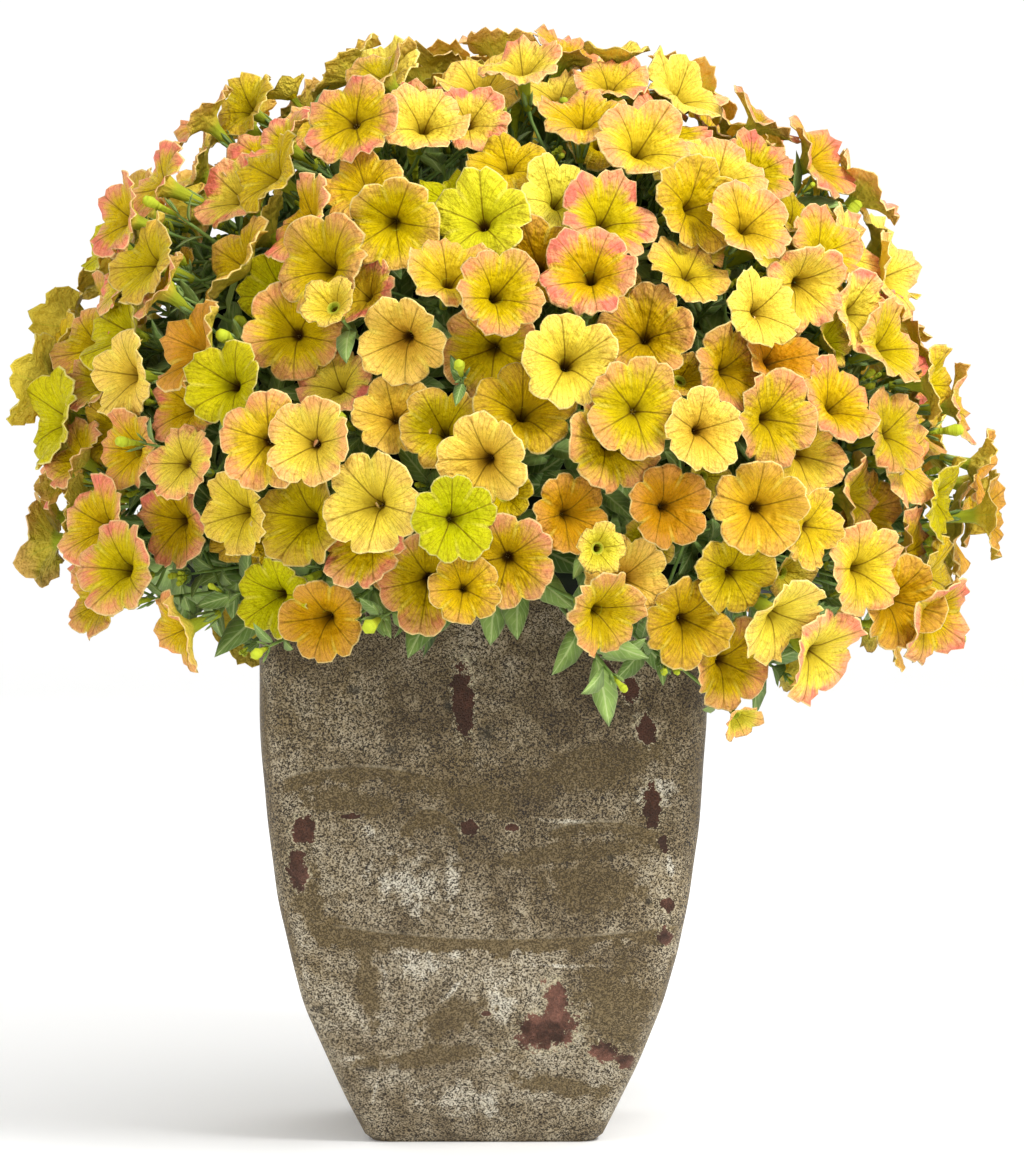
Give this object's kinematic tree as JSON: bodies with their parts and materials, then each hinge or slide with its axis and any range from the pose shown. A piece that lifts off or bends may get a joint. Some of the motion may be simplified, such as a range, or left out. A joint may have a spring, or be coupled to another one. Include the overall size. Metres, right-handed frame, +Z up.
{
  "type": "potted petunia",
  "caption": "Potted petunia: a rounded mound of golden, peach-edged trumpet blooms over leafy stems in a tall tapered square pot with an aged glaze.",
  "frame": {"origin": "middle of the pot's flat foot, on the surface that the pot stands on", "axes": "+Z up; -Y is the front that the picture shows; the pot's flat sides face along X and Y"},
  "size_m": [0.6466, 0.6077, 0.7135],
  "materials": {
    "pot_ceramic": "aged matt glaze",
    "potting_soil": "loose damp soil",
    "foliage": "soft downy leaf",
    "petals": "soft matt petal"
  },
  "bodies": {
    "root": {"bloom_spray_01": "petals", "bloom_spray_02": "petals", "bloom_spray_03": "petals", "bloom_spray_04": "petals", "bloom_spray_05": "petals", "bloom_spray_06": "petals", "bloom_spray_07": "petals", "bloom_spray_08": "petals", "bloom_spray_09": "petals", "bloom_spray_10": "petals", "bloom_spray_11": "petals", "bloom_spray_12": "petals", "bloom_spray_13": "petals", "bloom_spray_14": "petals", "bloom_spray_15": "petals", "bloom_spray_16": "petals", "bloom_spray_17": "petals", "bloom_spray_18": "petals", "bloom_spray_19": "petals", "bloom_spray_20": "petals", "bloom_spray_21": "petals", "bloom_spray_22": "petals", "bloom_spray_23": "petals", "bloom_spray_24": "petals", "bloom_spray_25": "petals", "bloom_spray_26": "petals", "bloom_spray_27": "petals", "bloom_spray_28": "petals", "bloom_spray_29": "petals", "bloom_spray_30": "petals", "bloom_spray_31": "petals", "bloom_spray_32": "petals", "bloom_spray_33": "petals", "bloom_spray_34": "petals", "bloom_spray_35": "petals", "bloom_spray_36": "petals", "leafy_stem_01": "foliage", "leafy_stem_02": "foliage", "leafy_stem_03": "foliage", "leafy_stem_04": "foliage", "leafy_stem_05": "foliage", "leafy_stem_06": "foliage", "leafy_stem_07": "foliage", "leafy_stem_08": "foliage", "leafy_stem_09": "foliage", "leafy_stem_10": "foliage", "leafy_stem_11": "foliage", "leafy_stem_12": "foliage", "pot": "pot_ceramic", "soil": "potting_soil"}
  },
  "joints": []
}
